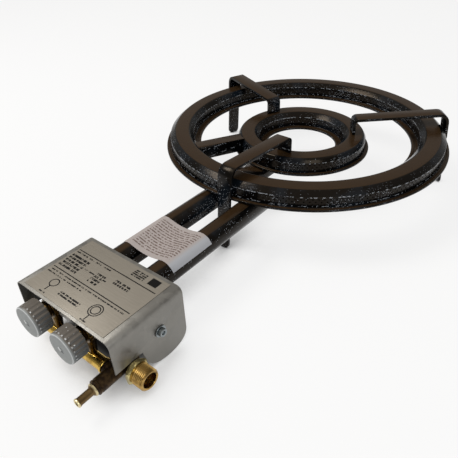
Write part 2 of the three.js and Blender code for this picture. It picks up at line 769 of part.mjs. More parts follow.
function tapStemSolid(x) {
  const centre = { x, z: tubeZ };
  const front = tapFront - stemForward;
  const shaft = turned([
    [0, front], [stemDiameter / 2, front], [stemDiameter / 2, tapFront + seatGap],
    [stemCollar / 2, tapFront + seatGap], [stemCollar / 2, collarRear], [0, collarRear],
  ], 'y', centre);
  const flat = prismY(rectangle(x - stemDiameter, x + stemDiameter, tubeZ + stemDiameter / 2 - stemFlat,
    tubeZ + stemDiameter), front - overrun, glandFront - pushTravel);
  const narrow = plugRadius - plugTaper;
  const tongue = prismY(rectangle(x - narrow, x + narrow, tubeZ - tongueWidth / 2, tubeZ + tongueWidth / 2),
    collarRear, collarRear + tongueLength);
  return join(cut(shaft, flat), tongue);
}

function glandNutSolid(x) {
  const nut = prismY(hexOutline(glandAcross, x, tubeZ), glandFront, glandFront + glandThickness);
  return cut(nut, rod('y', { x, z: tubeZ }, glandBore / 2, glandFront - overrun, tapFront));
}

function injectorSolid(x) {
  const centre = { x, z: tubeZ };
  const headFront = tapRear + seatGap;
  const headRear = headFront + injectorHead;
  const noseEnd = -tubeReach + capThickness + injectorNoseLength;
  const head = prismY(hexOutline(injectorAcross, x, tubeZ), headFront, headRear);
  const body = turned([
    [0, headFront], [injectorThread / 2, headFront], [injectorThread / 2, -tubeReach + capThickness],
    [injectorNose / 2, noseEnd], [0, noseEnd],
  ], 'y', centre);
  const way = rod('y', centre, injectorBore / 2, headFront - overrun, noseEnd + overrun);
  return cut(join(head, body), way);
}

// Knob: a hollow fluted cap on a bored hub
function knobSolid(x) {
  const face = -knobFaceReach;
  const rear = face + knobDepth;
  const radius = knobDiameter / 2;
  const total = fluteCount * fluteSteps;
  const fluted = Array.from({ length: total }, (_, k) => {
    const angle = (k * fullTurn) / total;
    const reach = radius - fluteDepth * (0.5 - 0.5 * Math.cos(fluteCount * angle));
    return [x + reach * Math.cos(angle), tubeZ + reach * Math.sin(angle)];
  });
  const centre = { x, z: tubeZ };
  const rounding = radius / Math.cos(Math.PI / roundSteps);
  const lens = turned([
    [0, face], [rounding - knobChamfer, face], [rounding, face + knobChamfer], [rounding, rear + overrun],
    [0, rear + overrun],
  ], 'y', centre, roundSteps);
  const body = prismY(fluted, face, rear).intersect(lens);
  const inner = radius - fluteDepth - knobWall;
  const hub = hubDiameter / 2;
  const hollow = turned([
    [hub, face + knobFaceWall], [inner, face + knobFaceWall], [inner, rear + overrun],
    [0, rear + overrun], [0, rear - hubRecess], [hub, rear - hubRecess],
  ], 'y', centre, roundSteps);
  const bore = rod('y', centre, stemDiameter / 2 + seatGap,
    tapFront - stemForward - seatGap, rear + overrun);
  const mark = rod('y', centre, knobMark / 2, face - knobMarkHeight, face + knobFaceWall / 2);
  return join(cut(body, hollow, bore), mark);
}

// Gas rail and inlet
function railSolid() {
  const [inside, outside] = [railBore / 2, railDiameter / 2];
  return turned([[inside, railLeft], [outside, railLeft], [outside, railRight], [inside, railRight]],
    'x', { y: railY, z: railZ });
}

function railPlugSolid() {
  const end = railLeft - seatGap;
  const head = prismX(hexOutline(railPlugAcross, railY, railZ), end - railPlugLength, end);
  const spigot = rod('x', { y: railY, z: railZ }, railBore / 2 - seatGap, end, end + railPlugLength);
  return join(head, spigot);
}

const unionStart = railRight + seatGap;
const unionEnd = unionStart + unionLength;

function railUnionSolid() {
  const [inside, outside] = [railBore / 2, unionDiameter / 2];
  return turned([[inside, unionStart], [outside, unionStart], [outside, unionEnd], [inside, unionEnd]],
    'x', { y: railY, z: railZ });
}

function inletBodySolid() {
  const barrel = rod('y', { x: inletX, z: railZ }, inletDiameter / 2, -inletFrontReach, -inletRearReach);
  const stub = rod('x', { y: railY, z: railZ }, railDiameter / 2, unionEnd + seatGap, inletX);
  const nippleZ = ringTopHeight - nippleDrop;
  const neck = rod('x', { y: -nippleReach, z: nippleZ }, nippleNeck / 2, inletX, nippleHexStart - seatGap);
  const mainWay = rod('y', { x: inletX, z: railZ }, inletWay / 2,
    -inletFrontReach - overrun, -nippleReach);
  const railWay = rod('x', { y: railY, z: railZ }, inletWay / 2, unionEnd - overrun, inletX);
  const nippleWay = rod('x', { y: -nippleReach, z: nippleZ }, inletWay / 2,
    inletX, nippleHexStart + overrun);
  return cut(join(barrel, stub, neck), mainWay, railWay, nippleWay);
}

function hoseTailSolid() {
  const bore = hoseTailBore / 2;
  const barb = hoseTailDiameter / 2;
  const seat = -inletFrontReach - seatGap;
  const spigot = inletWay / 2 - runningGap;
  return turned([
    [bore, -hoseTailReach], [barb, -hoseTailReach], [barb, seat - hoseLip],
    [hoseLipDiameter / 2, seat - hoseLip], [hoseLipDiameter / 2, seat], [spigot, seat],
    [spigot, seat + hoseSpigot], [bore, seat + hoseSpigot],
  ], 'y', { x: inletX, z: railZ });
}

function nippleSolid() {
  const centre = { y: -nippleReach, z: ringTopHeight - nippleDrop };
  const hexEnd = nippleHexStart + nippleHexLength;
  const hex = prismX(hexOutline(nippleHexAcross, centre.y, centre.z), nippleHexStart, hexEnd);
  const sleeve = rod('x', centre, nippleDiameter / 2, hexEnd - seatGap, nippleEnd, roundSteps);
  const mouth = rod('x', centre, nippleBore / 2, nippleEnd - nippleBoreDepth,
    nippleEnd + overrun, roundSteps);
  const way = rod('x', centre, inletWay / 2, nippleHexStart - overrun, nippleEnd);
  return cut(join(hex, sleeve), mouth, way);
}

// Instruction sheet: lies on both tubes, sags between them and curls down at the right
function sheetSolid() {
  const lie = tubeRadius + seatGap + sheetThickness / 2;
  const onTube = (x, degrees) => {
    const angle = radians(degrees);
    return {
      at: polar({ x, y: tubeZ }, lie, degrees),
      way: new THREE.Vector2(Math.sin(angle), -Math.cos(angle)),
    };
  };
  const wrap = (x, from, to) => Array.from({ length: bendSteps + 1 }, (_, k) =>
    onTube(x, from + ((to - from) * k) / bendSteps));
  const left = wrap(innerTubeX, sheetLeftAngle, sheetReleaseAngle);
  const right = wrap(outerTubeX, 180 - sheetReleaseAngle, sheetRightAngle);
  const leave = left[bendSteps];
  const land = right[0];
  const pull = (land.at.x - leave.at.x) * sheetPullShare;
  const sag = new THREE.CubicBezierCurve(leave.at, leave.at.clone().addScaledVector(leave.way, pull),
    land.at.clone().addScaledVector(land.way, -pull), land.at);
  const between = Array.from({ length: roundSteps - 1 }, (_, k) => (k + 1) / roundSteps)
    .map((share) => ({ at: sag.getPoint(share), way: sag.getTangent(share) }));
  const line = [...left, ...between, ...right];
  return prismY(stripOutline(line, sheetThickness),
    -sheetReach - sheetLength / 2, -sheetReach + sheetLength / 2);
}

// Assembly
const notches = supports.map(legNotch);
const feedCut = (feed) => rod('z', { x: feed.x, y: feed.y }, feedHole / 2, 0,
  ringTopHeight + ringLevels.flangeLow);

piece('outer_ring_top', cut(channelSolid(outerRing), ...notches, ductPassage,
  portRow(outerRing, ductOuterAngle)), enamel);
piece('outer_ring_pan', cut(panSolid(outerRing), ...notches, feedCut(outerFeed)), enamel);
piece('inner_ring_top', cut(channelSolid(innerRing), ductPassage, portRow(innerRing)), enamel);
piece('inner_ring_pan', cut(panSolid(innerRing), feedCut(innerFeed)), enamel);
piece('crossover_duct', ductSolid(), enamel);
supports.forEach((support) => piece(support.name, supportSolid(support), enamel));
piece('outer_mixing_tube', outerTubeSolid(), enamel);
piece('inner_mixing_tube', innerTubeSolid(), enamel);

piece('valve_box_cover', coverSolid(), galvanised);
piece('bare_rating_plate', ratingPlateSolid(), plateFinish);
piece('box_bracket', bracketSolid(), galvanised);
[['left', -1], ['right', 1]].forEach(([side, sign]) => {
  piece(`${side}_box_screw`, sideScrewSolid(sign), steel);
  piece(`${side}_box_washer`, washerSolid(sign), steel);
});

[['left', innerTubeX], ['right', outerTubeX]].forEach(([side, x]) => {
  piece(`${side}_tube_cap`, tubeCapSolid(x), steel);
  piece(`${side}_injector`, injectorSolid(x), brass);
  piece(`${side}_tap_body`, tapBodySolid(x), brass);
  piece(`${side}_tap_plug`, tapPlugSolid(x), brass);
  piece(`${side}_gland_nut`, glandNutSolid(x), brass);
  piece(`${side}_tap_stem`, tapStemSolid(x), brass);
  piece(`${side}_knob`, knobSolid(x), plastic);
});

piece('gas_rail', railSolid(), brass);
piece('rail_end_plug', railPlugSolid(), brass);
piece('rail_union', railUnionSolid(), brass);
piece('inlet_body', inletBodySolid(), agedBrass);
piece('hose_tail', hoseTailSolid(), agedBrass);
piece('inlet_nipple', nippleSolid(), brass);
piece('instruction_sheet', sheetSolid(), paper);

// The origin is on the floor, midway between the hose tail's tip and the far rim
model.position.y = (hoseTailReach - outerRing.radius) / 2;

export default model;
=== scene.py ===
"""A two-ring gas burner on three bent bars, with its valve box, taps and gas inlet."""

import math

import bmesh
import bpy
from mathutils import Euler, Matrix, Vector


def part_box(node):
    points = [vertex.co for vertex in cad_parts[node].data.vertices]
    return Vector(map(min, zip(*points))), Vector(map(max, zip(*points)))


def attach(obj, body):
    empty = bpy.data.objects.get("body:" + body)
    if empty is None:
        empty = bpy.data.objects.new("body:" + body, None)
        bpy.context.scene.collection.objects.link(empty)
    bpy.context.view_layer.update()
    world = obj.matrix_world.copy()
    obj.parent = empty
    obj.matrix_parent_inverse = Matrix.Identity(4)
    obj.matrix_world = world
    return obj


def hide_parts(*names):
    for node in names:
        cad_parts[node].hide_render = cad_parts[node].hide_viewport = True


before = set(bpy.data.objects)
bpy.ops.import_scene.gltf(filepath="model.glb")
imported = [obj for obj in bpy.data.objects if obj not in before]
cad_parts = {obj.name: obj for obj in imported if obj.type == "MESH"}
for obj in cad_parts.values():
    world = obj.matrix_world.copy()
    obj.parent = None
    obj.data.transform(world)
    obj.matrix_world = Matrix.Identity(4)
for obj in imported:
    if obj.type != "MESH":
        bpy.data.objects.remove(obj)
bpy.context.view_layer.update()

mm = 0.001
full_turn = 2 * math.pi
deg = math.pi / 180


# Camera at the photograph's viewing angle
def set_camera():
    eye = Vector((0.3194, -0.42265, 0.3677))
    azimuth, elevation, roll, view_angle = 0.696, 0.627, -0.038, 50.064 * deg
    across, height = math.cos(elevation), math.sin(elevation)
    back = Vector((math.sin(azimuth) * across, -math.cos(azimuth) * across, height))
    level = Vector((math.cos(azimuth), math.sin(azimuth), 0))
    upright = back.cross(level)
    right = math.cos(roll) * level + math.sin(roll) * upright
    up = -math.sin(roll) * level + math.cos(roll) * upright
    place = Matrix((right, up, back)).transposed().to_4x4()
    place.translation = eye
    data = bpy.data.cameras.new("camera")
    data.angle = view_angle
    camera = bpy.data.objects.new("camera", data)
    camera.matrix_world = place
    bpy.context.scene.collection.objects.link(camera)
    bpy.context.scene.camera = camera


set_camera()


# Shader sums written as Python expressions
def add_node(tree, kind, settings, sockets, output=0):
    """Adds a node with its settings, then gives its sockets their values or links."""
    node = tree.nodes.new(kind)
    for key, value in settings.items():
        setattr(node, key, value)
    for key, value in sockets.items():
        if isinstance(value, Shade):
            tree.links.new(value.socket, node.inputs[key])
        else:
            node.inputs[key].default_value = value
    return Shade(tree, node.outputs[output])


class Shade:
    """What a node puts out. A sum on it adds its own Math nodes."""

    def __init__(self, tree, socket):
        self.tree = tree
        self.socket = socket

    def math(self, operation, *others):
        terms = dict(enumerate((self, *others)))
        return add_node(self.tree, "ShaderNodeMath", {"operation": operation}, terms)

    def __add__(self, other):
        return self.math("ADD", other)

    __radd__ = __add__

    def __sub__(self, other):
        return self.math("SUBTRACT", other)

    def __rsub__(self, other):
        return add_node(self.tree, "ShaderNodeMath", {"operation": "SUBTRACT"}, {0: other, 1: self})

    def __mul__(self, other):
        return self.math("MULTIPLY", other)

    __rmul__ = __mul__

    def __truediv__(self, other):
        return self.math("DIVIDE", other)

    def __pow__(self, power):
        return self.math("POWER", power)

    def __abs__(self):
        return self.math("ABSOLUTE")

    def __gt__(self, other):
        return self.math("GREATER_THAN", other)

    def __lt__(self, other):
        return self.math("LESS_THAN", other)

    def __or__(self, other):
        """The greater of both, which joins two masks."""
        return self.math("MAXIMUM", other)

    def ramp(self, low, high):
        """0 below low, 1 above high and smooth between."""
        return add_node(self.tree, "ShaderNodeMapRange", {"interpolation_type": "SMOOTHSTEP"},
                        {"Value": self, "From Min": low, "From Max": high}, "Result")


def mix_colours(tree, share, first, second):
    """From the first colour, where share is 0, to the second, where it is 1."""
    first, second = ((*colour, 1) if isinstance(colour, tuple) else colour for colour in (first, second))
    return add_node(tree, "ShaderNodeMix", {"data_type": "RGBA"}, {0: share, 6: first, 7: second}, 2)


class Finish:
    """One surface finish: fixed values on the shader, varying ones by feed()."""

    def __init__(self, name, slot, **fixed):
        self.slot = slot
        self.material = bpy.data.materials.new(name)
        self.material.use_nodes = True
        self.tree = self.material.node_tree
        self.shader = self.tree.nodes["Principled BSDF"]
        for socket, value in fixed.items():
            self.shader.inputs[socket.replace("_", " ")].default_value = value
        self.place = self.node("ShaderNodeTexCoord", {}, {}, "Object")

    def node(self, kind, settings, sockets, output=0):
        return add_node(self.tree, kind, settings, sockets, output)

    def stretched(self, x, y):
        return self.node("ShaderNodeMapping", {}, {"Vector": self.place, "Scale": (x, y, 1)})

    def noise(self, scale, detail=2, roughness=0.5, place=None):
        """Smooth cloud about 0.5, with scale lumps a metre."""
        return self.node("ShaderNodeTexNoise", {}, {
            "Vector": place or self.place, "Scale": scale, "Detail": detail, "Roughness": roughness})

    def cells(self, scale):
        """Distance from the middle of the nearest cell, in cells."""
        return self.node("ShaderNodeTexVoronoi", {}, {"Vector": self.place, "Scale": scale}, "Distance")

    def cell_tone(self, scale):
        """One random value for each cell."""
        colour = self.node("ShaderNodeTexVoronoi", {}, {"Vector": self.place, "Scale": scale}, "Color")
        return self.node("ShaderNodeSeparateColor", {}, {"Color": colour})

    def normal(self, axis):
        normal = self.node("ShaderNodeNewGeometry", {}, {}, "Normal")
        return self.node("ShaderNodeSeparateXYZ", {}, {"Vector": normal}, axis)

    def along(self, axis):
        return self.node("ShaderNodeSeparateXYZ", {}, {"Vector": self.place}, axis)

    def mix(self, share, first, second):
        return mix_colours(self.tree, share, first, second)

    def bump(self, height, distance, strength=1):
        return self.node("ShaderNodeBump", {}, {
            "Height": height, "Distance": distance, "Strength": strength})

    def feed(self, **sockets):
        for socket, value in sockets.items():
            self.tree.links.new(value.socket, self.shader.inputs[socket.replace("_", " ")])


def middle_of(node):
    low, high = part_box(node)
    return (low + high) / 2


# Sizes that a finish and a shape share
shoulder_drop = 6 * mm           # of both rings' walls below their tops
nipple_hexagon = 5.2 * mm        # length of the nipple's hexagon
knob_flutes = 22
knob_band = 3.2 * mm             # plain front of a knob


# Finishes
def black_enamel():
    """Glossy black enamel: a painted brown reflection where it faces up, and on the walls a painted
    blue-black reflection with pale painted glints.
    """
    enamel = Finish("black_enamel", "enamel", Specular_IOR_Level=0.17, Specular_Tint=(1, 0.8, 0.6, 1))
    upward = enamel.normal("Z")
    steep = 1 - abs(upward).ramp(0.6, 0.9)
    # Painted reflections: brown on faces that look up, dark bluish on the walls
    brown = enamel.mix(enamel.noise(38, 3), (0.027, 0.0148, 0.0066), (0.038, 0.0215, 0.0098))
    bluish = enamel.mix(enamel.noise(24, 4).ramp(0.45, 0.62), (0.0015, 0.0016, 0.0018),
                        (0.006, 0.009, 0.013))
    ground = enamel.mix(upward.ramp(0.9, 0.99), bluish, brown)

    # Painted glints as pale specks: one cell of twenty, and one of three where it is patchy
    glint_scale, glint_size = 950, 0.32
    patchy = enamel.noise(26, 2).ramp(0.46, 0.62)
    chosen = enamel.cell_tone(glint_scale) > 0.95 - 0.3 * patchy
    painted_glint = (enamel.cells(glint_scale) < glint_size) * chosen * steep

    # A painted highlight: a broken pale line where each ring's walls meet its shoulders
    height = enamel.along("Z")
    edge_drop, edge_reach = 0.4 * mm, 0.5 * mm
    edges = []
    for ring in ("outer_ring", "inner_ring"):
        wall_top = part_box(f"{ring}_top")[1].z - shoulder_drop
        edges.append(abs(height - (wall_top - edge_drop)) < edge_reach)
    painted_edge_highlight = (edges[0] + edges[1]) * (enamel.noise(300, 2) > 0.54) * steep

    # The pale colour is painted light: glints on the walls and highlights along the wall tops
    enamel.feed(
        Base_Color=enamel.mix(0.5 * painted_glint | 0.35 * painted_edge_highlight, ground, (0.75, 0.8, 0.88)),
        Roughness=0.14 + 0.1 * enamel.noise(90, 2),
        Normal=enamel.bump(enamel.noise(420, 2, 0.45), 0.16 * mm, 0.6),
    )
    return enamel


def galvanised_sheet():
    """Pale spangled zinc, with painted shade on the inner and lower faces of the valve box."""
    zinc = Finish("galvanised_sheet", "galvanised", Metallic=0.75, Specular_IOR_Level=0.5)
    spangle = zinc.cell_tone(150)
    cloud = zinc.noise(30, 3)
    pale = zinc.mix(0.35 * spangle + 0.5 * cloud, (0.185, 0.178, 0.162), (0.32, 0.307, 0.28))
    # Painted shade: the valve box's inner and lower faces are made dark
    off_middle = zinc.along("X") - middle_of("valve_box_cover").x
    wall_reach = 20 * mm             # the side walls are further than this from the box's middle
    inward = off_middle * zinc.normal("X") < -wall_reach
    inside = inward | (zinc.normal("Z") < -0.5)
    zinc.feed(
        Base_Color=zinc.mix(0.85 * inside, pale, (0.03, 0.033, 0.036)),
        Roughness=0.4 + 0.14 * spangle,
        Normal=zinc.bump(zinc.noise(900, 2), 0.03 * mm, 0.5),
    )
    return zinc


def plate_print(foil):
    """Plain marks: two rules, rows of blank dashes, a dark field and rings with handles."""
    low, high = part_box("bare_rating_plate")
    width, depth = high.x - low.x, high.y - low.y
    across, along = foil.along("X") - low.x, foil.along("Y") - low.y
    u, v = across / width, along / depth
    dashes_across, dashes_along = 640, 150       # a metre
    dashes = foil.noise(1, 1, place=foil.stretched(dashes_across, dashes_along)) > 0.44

    def within(left, right, front, rear):
        return (u > left) * (u < right) * (v > front) * (v < rear)

    rules_and_field_shares = [
        (0.015, 0.975, 0.779, 0.793), (0.015, 0.975, 0.392, 0.406), (0.83, 0.93, 0.85, 0.965),
    ]
    marks = [within(*shares) for shares in rules_and_field_shares]

    # Left, right, front and rear as shares of the plate, and the rows of dashes
    text_block_shares = [
        (0.02, 0.47, 0.735, 0.765, 1), (0.02, 0.25, 0.45, 0.71, 5), (0.27, 0.55, 0.57, 0.6, 1),
        (0.4, 0.51, 0.46, 0.65, 4), (0.6, 0.78, 0.61, 0.7, 2), (0.635, 0.78, 0.845, 0.965, 4),
        (0.03, 0.94, 0.345, 0.372, 1), (0.02, 0.48, 0.298, 0.325, 1), (0.34, 0.59, 0.11, 0.185, 2),
        (0.175, 0.25, 0.022, 0.052, 1), (0.705, 0.775, 0.018, 0.048, 1),
    ]
    row_share = 0.66                 # of a row's height that is inked
    for left, right, front, rear, rows in text_block_shares:
        row = (v - front) * (rows / (rear - front))
        marks.append(within(left, right, front, rear) * (row.math("FRACT") < row_share) * dashes)

    ring_depth_share = 0.209
    line_reach, handle_reach, handle = 0.55 * mm, 0.6 * mm, 6.5 * mm
    for middle_share, radii in ((0.207, [4.6 * mm]), (0.737, [6.6 * mm, 4.4 * mm])):
        x, y = across - middle_share * width, along - ring_depth_share * depth
        from_middle = (x * x + y * y) ** 0.5
        marks += [abs(from_middle - radius) < line_reach for radius in radii]
        marks.append((abs(x) < handle_reach) * (y < -radii[0]) * (y > -radii[0] - handle))

    inked = marks[0]
    for mark in marks[1:]:
        inked = inked | mark
    return inked


def plate_foil():
    """Brushed pale foil with its print."""
    foil = Finish("plate_foil", "plate", Specular_IOR_Level=0.15)
    grain = foil.noise(60, 3, place=foil.stretched(1, 12))
    bare = foil.mix(grain, (0.25, 0.225, 0.185), (0.32, 0.29, 0.245))
    inked = plate_print(foil)
    foil.feed(
        Base_Color=foil.mix(inked, bare, (0.006, 0.0055, 0.005)),
        Metallic=0.3 * (1 - inked),
        Roughness=0.42 + 0.1 * foil.noise(45, 2),
        Normal=foil.bump(grain, 0.02 * mm, 0.4),
    )
    return foil


def bright_zinc():
    """Zinc plating of the screws, washers and tube caps."""
    zinc = Finish("bright_zinc", "steel", Metallic=1.0)
    zinc.feed(
        Base_Color=zinc.mix(zinc.noise(260, 3), (0.17, 0.19, 0.195), (0.36, 0.39, 0.4)),
        Roughness=0.26 + 0.2 * zinc.noise(500, 2),
        Normal=zinc.bump(zinc.noise(1500, 1), 0.02 * mm, 0.4),
    )
    return zinc


def turned_brass(name, bright, dull):
    """Turned brass that goes from bright to dull in patches."""
    brass = Finish(name, "brass", Metallic=1.0)
    tarnish = brass.noise(120, 4).ramp(0.42, 0.7)
    brass.feed(
        Base_Color=brass.mix(tarnish, bright, dull),
        Roughness=0.22 + 0.2 * tarnish,
        Normal=brass.bump(brass.noise(1600, 1), 0.02 * mm, 0.5),
    )
    return brass


def threaded_brass():
    """Bronze-coloured thread with a paler, greener hexagon."""
    brass = Finish("threaded_brass", "brass", Metallic=1.0)
    tarnish = brass.noise(120, 4).ramp(0.42, 0.7)
    overlap = 0.2 * mm               # of the hexagon's colour past its edge
    thread_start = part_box("inlet_nipple")[0].x + nipple_hexagon + overlap
    thread = brass.mix(tarnish, (0.46, 0.29, 0.09), (0.17, 0.10, 0.03))
    flats = brass.mix(tarnish, (0.60, 0.50, 0.23), (0.34, 0.27, 0.11))
    brass.feed(
        Base_Color=brass.mix(brass.along("X") > thread_start, flats, thread),
        Roughness=0.2 + 0.2 * tarnish,
        Normal=brass.bump(brass.noise(1600, 1), 0.02 * mm, 0.5),
    )
    return brass


def aged_brass():
    """Dark brown brass of the inlet piece."""
    brass = Finish("aged_brass", "aged_brass", Metallic=0.85)
    patch = brass.noise(170, 4).ramp(0.4, 0.72)
    brass.feed(
        Base_Color=brass.mix(patch, (0.024, 0.013, 0.006), (0.085, 0.05, 0.02)),
        Roughness=0.36 + 0.22 * brass.noise(320, 2),
        Normal=brass.bump(brass.noise(1100, 2), 0.04 * mm, 0.6),
    )
    return brass


def worn_brass():
    """Brown brass of the hose tail, bright at both ends."""
    worn = Finish("worn_brass", "aged_brass", Metallic=0.95)
    tip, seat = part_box("hose_tail")[0].y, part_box("inlet_body")[0].y
    bright_tip, bright_collar, fade = 0.8 * mm, 1.6 * mm, 1 * mm
    along = worn.along("Y")
    front_end = 1 - along.ramp(tip + bright_tip, tip + bright_tip + fade)
    rear_end = along.ramp(seat - bright_collar - fade, seat - bright_collar)
    ground = worn.mix(worn.noise(200, 3), (0.10, 0.06, 0.025), (0.20, 0.13, 0.055))
    worn.feed(
        Base_Color=worn.mix(0.9 * front_end + 0.8 * rear_end, ground, (0.8, 0.68, 0.4)),
        Roughness=0.26 + 0.16 * worn.noise(420, 2),
        Normal=worn.bump(worn.noise(1300, 1), 0.02 * mm, 0.4),
    )
    return worn


def grey_plastic():
    """Grey plastic of both knobs: a paler face, painted glints and real scratches on the ribs, painted
    highlights on the rim and mark, and a small painted shadow pip.
    """
    plastic = Finish("grey_plastic", "grey_plastic", Specular_IOR_Level=0.5)
    low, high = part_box("left_knob")
    left, right = middle_of("left_knob"), middle_of("right_knob")
    on_right = plastic.along("X") > (left.x + right.x) / 2
    x = plastic.along("X") - left.x - on_right * (right.x - left.x)
    z = plastic.along("Z") - left.z
    behind_front = plastic.along("Y") - low.y

    def from_spot(across, up):
        return ((x - across) * (x - across) + (z - up) * (z - up)) ** 0.5

    # Painted glints at the front ends of the ribs, joined with real scratches on the ribs
    rib_start, rib_glint_reach = knob_band + 0.9 * mm, 0.5 * mm
    on_rib = (z.math("ARCTAN2", x) * knob_flutes).math("COSINE") > 0.5
    dot = abs(behind_front - rib_start) < rib_glint_reach
    worn = on_rib * dot * plastic.noise(210, 1).ramp(0.35, 0.6)
    scratch_scale = 330
    scratch = (plastic.cells(scratch_scale) < 0.24) * (plastic.cell_tone(scratch_scale) > 0.5) * on_rib
    worn = worn | (0.7 * scratch * (behind_front > rib_start))

    # Painted highlights on the rim's front edge and on the centre mark, and a painted shadow pip beside the
    # mark
    radius, rim_depth, face_depth = (high.x - low.x) / 2, 1.1 * mm, 0.9 * mm
    mark_place, mark_radius = (-2 * mm, 0), 2.1 * mm
    pip_place, pip_radius = (1.9 * mm, -1.7 * mm), 1.6 * mm
    rim = (from_spot(0, 0) / radius).ramp(0.9, 0.95) * (behind_front < rim_depth)
    on_face = behind_front < face_depth
    mark = (from_spot(*mark_place) < mark_radius) * on_face
    painted_shadow_pip = (from_spot(*pip_place) < pip_radius) * on_face
    pale = worn | 0.6 * rim | 0.75 * mark

    face = plastic.mix(plastic.noise(70, 3), (0.20, 0.215, 0.215), (0.28, 0.295, 0.29))
    # Painted reflection: the skirt is painted brownish where it faces up
    skirt = plastic.mix(plastic.normal("Z").ramp(-0.2, 0.8), (0.13, 0.14, 0.145), (0.115, 0.1, 0.083))
    on_skirt = behind_front.ramp(0.4 * knob_band, 0.9 * knob_band)
    ground = plastic.mix(0.75 * painted_shadow_pip, plastic.mix(on_skirt, face, skirt), (0.02, 0.022, 0.025))
    plastic.feed(
        Base_Color=plastic.mix(pale, ground, (0.72, 0.74, 0.75)),
        Roughness=0.4 + 0.14 * plastic.noise(400, 2),
        Normal=plastic.bump(plastic.noise(1300, 2), 0.04 * mm, 0.6),
    )
    return plastic


def printed_paper():
    """Pinkish paper with rows of blank dashes, and painted bluish light where it curls down."""
    paper = Finish("printed_paper", "paper", Specular_IOR_Level=0.2)
    fibre = paper.noise(700, 4, 0.7)
    bare = paper.mix(fibre, (0.36, 0.315, 0.3), (0.45, 0.405, 0.39))
    # Painted bluish light on the part that curls down
    curl_painted_light = paper.normal("X").ramp(0.25, 0.6)
    bare = paper.mix(curl_painted_light, bare, (0.42, 0.43, 0.46))

    low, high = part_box("instruction_sheet")
    left_margin, right_margin, front_margin, rear_margin = 6.9 * mm, 9.7 * mm, 4.6 * mm, 5.4 * mm
    across, along = paper.along("X"), paper.along("Y")
    inside = (across > low.x + left_margin) * (across < high.x - right_margin)
    inside = inside * (along > low.y + front_margin) * (along < high.y - rear_margin)
    row_pitch, row_share = 3.4 * mm, 0.46
    words_across, words_along = 520, 294         # a metre
    words = paper.noise(1, 2, 0.6, paper.stretched(words_across, words_along)) > 0.46
    upward = paper.normal("Z").ramp(0.2, 0.5)
    inked = ((along / row_pitch).math("FRACT") < row_share) * words * inside * upward
    paper.feed(
        Base_Color=paper.mix(0.9 * inked, bare, (0.12, 0.08, 0.065)),
        Roughness=0.72 + 0.15 * fibre,
        Normal=paper.bump(fibre, 0.04 * mm, 0.6),
    )
    return paper


enamel = black_enamel()
galvanised = galvanised_sheet()
foil = plate_foil()
zinc = bright_zinc()
brass = turned_brass("turned_brass", (0.68, 0.45, 0.10), (0.36, 0.22, 0.045))
bronze = threaded_brass()
# Painted shade: a darker copy of the turned brass for the parts inside the valve box
shaded_brass = turned_brass("shaded_brass_inside_the_box", (0.13, 0.08, 0.025), (0.05, 0.03, 0.011))
old_brass = aged_brass()
dull_brass = worn_brass()
plastic = grey_plastic()
paper = printed_paper()


# Pieces
crease = 32 * deg                # edges sharper than this stay sharp
joint = 0.002 * mm               # points closer than this are one


def closed_mesh(name, points, faces):
    """A mesh from points and faces, closed and facing outwards."""
    mesh = bpy.data.meshes.new(name)
    mesh.from_pydata([tuple(p) for p in points], [], faces)
    shell = bmesh.new()
    shell.from_mesh(mesh)
    bmesh.ops.remove_doubles(shell, verts=shell.verts, dist=joint)
    bmesh.ops.recalc_face_normals(shell, faces=shell.faces)
    shell.to_mesh(mesh)
    shell.free()
    return mesh


def linked(mesh):
    made = bpy.data.objects.new(mesh.name, mesh)
    bpy.context.scene.collection.objects.link(made)
    return made


def finished(mesh, node, finish, body, sharp):
    """An object of the mesh in its finish, riding on a body in place of a node."""
    mesh.materials.append(finish.material)
    made = linked(mesh)
    mesh.shade_smooth()
    mesh.set_sharp_from_angle(angle=sharp)
    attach(made, body)
    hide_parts(node)
    return made


def piece(name, node, shape, finish, body="burner", sharp=crease):
    """A piece from the points and faces of a shape, in place of a node."""
    return finished(closed_mesh(name, *shape), node, finish, body, sharp)


def dressed(node, finish, bevel, body="burner"):
    """The node's own shape with its edges rounded and its curves shaded smooth."""
    flat = 0.6 * deg                 # faces that meet at less than this become one
    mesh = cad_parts[node].data.copy()
    shell = bmesh.new()
    shell.from_mesh(mesh)
    bmesh.ops.remove_doubles(shell, verts=shell.verts, dist=2 * joint)
    bmesh.ops.dissolve_limit(shell, angle_limit=flat, verts=shell.verts, edges=shell.edges)
    edges = [e for e in shell.edges if e.is_manifold and e.calc_face_angle(0) > crease]
    bmesh.ops.bevel(shell, geom=edges, offset=bevel, segments=2, profile=0.5, affect="EDGES",
                    clamp_overlap=True)
    bmesh.ops.recalc_face_normals(shell, faces=shell.faces)
    shell.to_mesh(mesh)
    shell.free()
    mesh.name = f"{node}_dressed"
    mesh.materials.clear()
    return finished(mesh, node, finish, body, crease)


def united(name, node, shapes, finish):
    """Closed shapes made into one piece by union."""
    parts = [linked(closed_mesh(f"{name}_{number}", *shape)) for number, shape in enumerate(shapes)]
    first, *others = parts
    for other in others:
        union = first.modifiers.new("union", "BOOLEAN")
        union.operation = "UNION"
        union.solver = "EXACT"
        union.object = other
    bpy.context.view_layer.update()
    depsgraph = bpy.context.evaluated_depsgraph_get()
    whole = bpy.data.meshes.new_from_object(first.evaluated_get(depsgraph))
    points = [v.co.copy() for v in whole.vertices]
    faces = [tuple(f.vertices) for f in whole.polygons]
    for part in parts:
        bpy.data.objects.remove(part)
    return piece(name, node, (points, faces), finish)


# Shapes
def aimed(axis, centre):
    """Turns a shape about z into one about another axis through a point."""
    turns = {"x": (0, math.pi / 2, 0), "y": (-math.pi / 2, 0, 0), "z": (0, 0, 0)}
    return Matrix.Translation(centre) @ Euler(turns[axis]).to_matrix().to_4x4()


